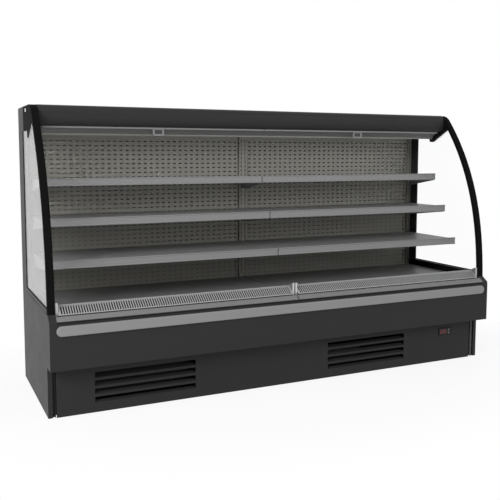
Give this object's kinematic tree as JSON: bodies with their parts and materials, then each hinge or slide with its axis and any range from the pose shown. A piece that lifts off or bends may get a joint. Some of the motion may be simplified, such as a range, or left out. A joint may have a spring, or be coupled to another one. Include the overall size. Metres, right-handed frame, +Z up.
{
  "type": "semi-vertical refrigerated display case",
  "caption": "Free-standing open-front refrigerated display case with curved glazed ends, stepped shelves in two bays, night blinds, return-air grille and louvred kickplate.",
  "frame": {"origin": "on the floor, under the middle of the case", "axes": "+X along the case to the right as seen by the shopper, -Y towards the shopper, +Z up"},
  "size_m": [2.57, 0.823, 1.473],
  "materials": {
    "charcoal_paint": "satin powder coat, charcoal",
    "black_trim": "satin black",
    "clear_glass": "clear end glass",
    "seal_rubber": "matt black seal",
    "dark_profile": "satin dark grey",
    "aluminium_profile": "satin anodised",
    "lip_grey": "satin grey",
    "bar_grey": "satin grey",
    "honeycomb_plastic": "dark cells",
    "blind_fabric": "woven reflective night blind",
    "warm_grey_paint": "satin warm grey",
    "foam_wall": "coated sheet over foam",
    "tub_liner": "dark lining over foam",
    "shelf_paint": "satin grey",
    "rail_grey": "satin grey extrusion",
    "deck_paint": "satin grey",
    "galvanised": "galvanised sheet",
    "grille_metal": "pressed grille",
    "end_plate_pale": "pale moulding",
    "front_rail_grey": "satin grey extrusion",
    "bumper_grey": "smooth grey bumper",
    "controller_plastic": "dark panel",
    "display_window": "dark red display window",
    "button_grey": "grey keys",
    "fin_aluminium": "fin pack",
    "fan_black": "black moulding",
    "compressor_black": "gloss black can",
    "pipe_copper": "copper and drain pipe",
    "gland_black": "black gland"
  },
  "bodies": {
    "case": {"air_honeycomb": "honeycomb_plastic", "back_wall": "foam_wall", "base_frame": "charcoal_paint", "bumper": "bumper_grey", "canopy_brackets": "black_trim", "canopy_cover": "charcoal_paint", "canopy_lip": "lip_grey", "canopy_soffit": "dark_profile", "compressor": "compressor_black", "condenser": "compressor_black", "controller_body": "controller_plastic", "controller_display": "display_window", "deck_supports": "tub_liner", "duct_panels": "warm_grey_paint", "end_glasses": "clear_glass", "end_liners": "black_trim", "end_panels": "charcoal_paint", "end_trims": "black_trim", "evaporation_tray": "fan_black", "evaporator": "fin_aluminium", "fan_motors": "fan_black", "fan_shrouds": "galvanised", "front_panel": "charcoal_paint", "front_rails": "front_rail_grey", "glass_seals": "seal_rubber", "insulated_tub": "tub_liner", "kickplate": "charcoal_paint", "mains_gland": "gland_black", "pipes": "pipe_copper", "rear_cover": "galvanised", "shelf_uprights": "warm_grey_paint"},
    "blind_left": {"blind_bar_left": "bar_grey", "blind_sheet_left": "blind_fabric"},
    "roller_left": {"blind_roller_left": "aluminium_profile"},
    "blind_right": {"blind_bar_right": "bar_grey", "blind_sheet_right": "blind_fabric"},
    "roller_right": {"blind_roller_right": "aluminium_profile"},
    "shelf_upper_left": {"shelf_upper_left": "shelf_paint", "price_rail_upper_left": "rail_grey"},
    "shelf_upper_right": {"shelf_upper_right": "shelf_paint", "price_rail_upper_right": "rail_grey"},
    "shelf_middle_left": {"shelf_middle_left": "shelf_paint", "price_rail_middle_left": "rail_grey"},
    "shelf_middle_right": {"shelf_middle_right": "shelf_paint", "price_rail_middle_right": "rail_grey"},
    "shelf_lower_left": {"shelf_lower_left": "shelf_paint", "price_rail_lower_left": "rail_grey"},
    "shelf_lower_right": {"shelf_lower_right": "shelf_paint", "price_rail_lower_right": "rail_grey"},
    "deck_left": {"deck_pan_left": "deck_paint"},
    "deck_right": {"deck_pan_right": "deck_paint"},
    "grille_left": {"return_grille_left": "grille_metal", "grille_ends_left": "end_plate_pale"},
    "grille_right": {"return_grille_right": "grille_metal", "grille_ends_right": "end_plate_pale"},
    "fan_left": {"evaporator_fan_left": "fan_black"},
    "fan_right": {"evaporator_fan_right": "fan_black"},
    "condenser_fan": {"condenser_fan": "fan_black"},
    "button_up": {"controller_button_up": "button_grey"},
    "button_down": {"controller_button_down": "button_grey"}
  },
  "joints": [
    {"name": "blind_pull_left", "type": "slide", "parent": "case", "child": "blind_left", "axis": [0, -0.4142, -0.9102], "range_m": [0, 0.864], "stiffness_N_per_m": 10, "springref_m": -1.5, "deforming": ["blind_sheet_left"]},
    {"name": "roller_turn_left", "type": "hinge", "parent": "case", "child": "roller_left", "pos_m": [-0.6225, 0.0535, 1.409], "axis": [1, 0, 0], "range_deg": [0, 2476.2]},
    {"name": "blind_pull_right", "type": "slide", "parent": "case", "child": "blind_right", "axis": [0, -0.4142, -0.9102], "range_m": [0, 0.864], "stiffness_N_per_m": 10, "springref_m": -1.5, "deforming": ["blind_sheet_right"]},
    {"name": "roller_turn_right", "type": "hinge", "parent": "case", "child": "roller_right", "pos_m": [0.6225, 0.0535, 1.409], "axis": [1, 0, 0], "range_deg": [0, 2476.2]},
    {"name": "shelf_tilt_upper_left", "type": "hinge", "parent": "case", "child": "shelf_upper_left", "pos_m": [-0.625, 0.3015, 1.082], "axis": [-1, 0, 0], "range_deg": [0, 8]},
    {"name": "shelf_tilt_upper_right", "type": "hinge", "parent": "case", "child": "shelf_upper_right", "pos_m": [0.625, 0.3015, 1.082], "axis": [-1, 0, 0], "range_deg": [0, 8]},
    {"name": "shelf_tilt_middle_left", "type": "hinge", "parent": "case", "child": "shelf_middle_left", "pos_m": [-0.625, 0.3015, 0.8855], "axis": [-1, 0, 0], "range_deg": [0, 8]},
    {"name": "shelf_tilt_middle_right", "type": "hinge", "parent": "case", "child": "shelf_middle_right", "pos_m": [0.625, 0.3015, 0.8855], "axis": [-1, 0, 0], "range_deg": [0, 8]},
    {"name": "shelf_tilt_lower_left", "type": "hinge", "parent": "case", "child": "shelf_lower_left", "pos_m": [-0.625, 0.3015, 0.689], "axis": [-1, 0, 0], "range_deg": [0, 8]},
    {"name": "shelf_tilt_lower_right", "type": "hinge", "parent": "case", "child": "shelf_lower_right", "pos_m": [0.625, 0.3015, 0.689], "axis": [-1, 0, 0], "range_deg": [0, 8]},
    {"name": "deck_lift_left", "type": "slide", "parent": "case", "child": "deck_left", "axis": [0, 0, 1], "range_m": [0, 0.04]},
    {"name": "deck_lift_right", "type": "slide", "parent": "case", "child": "deck_right", "axis": [0, 0, 1], "range_m": [0, 0.04]},
    {"name": "grille_lift_left", "type": "slide", "parent": "case", "child": "grille_left", "axis": [0, 0, 1], "range_m": [0, 0.012]},
    {"name": "grille_lift_right", "type": "slide", "parent": "case", "child": "grille_right", "axis": [0, 0, 1], "range_m": [0, 0.012]},
    {"name": "fan_spin_left", "type": "hinge", "parent": "case", "child": "fan_left", "pos_m": [-0.625, -0.0715, 0.4019], "axis": [0, 1, 0], "continuous": true},
    {"name": "fan_spin_right", "type": "hinge", "parent": "case", "child": "fan_right", "pos_m": [0.625, -0.0715, 0.4019], "axis": [0, 1, 0], "continuous": true},
    {"name": "condenser_fan_spin", "type": "hinge", "parent": "case", "child": "condenser_fan", "pos_m": [-0.81, -0.1525, 0.137], "axis": [0, 1, 0], "continuous": true},
    {"name": "button_press_up", "type": "slide", "parent": "case", "child": "button_up", "axis": [0, 1, 0], "range_m": [0, 0.001], "stiffness_N_per_m": 400},
    {"name": "button_press_down", "type": "slide", "parent": "case", "child": "button_down", "axis": [0, 1, 0], "range_m": [0, 0.001], "stiffness_N_per_m": 400}
  ],
  "couplings": [
    {"joint": "roller_turn_left", "follows": "blind_pull_left", "rad_per_m": 50},
    {"joint": "roller_turn_right", "follows": "blind_pull_right", "rad_per_m": 50}
  ]
}
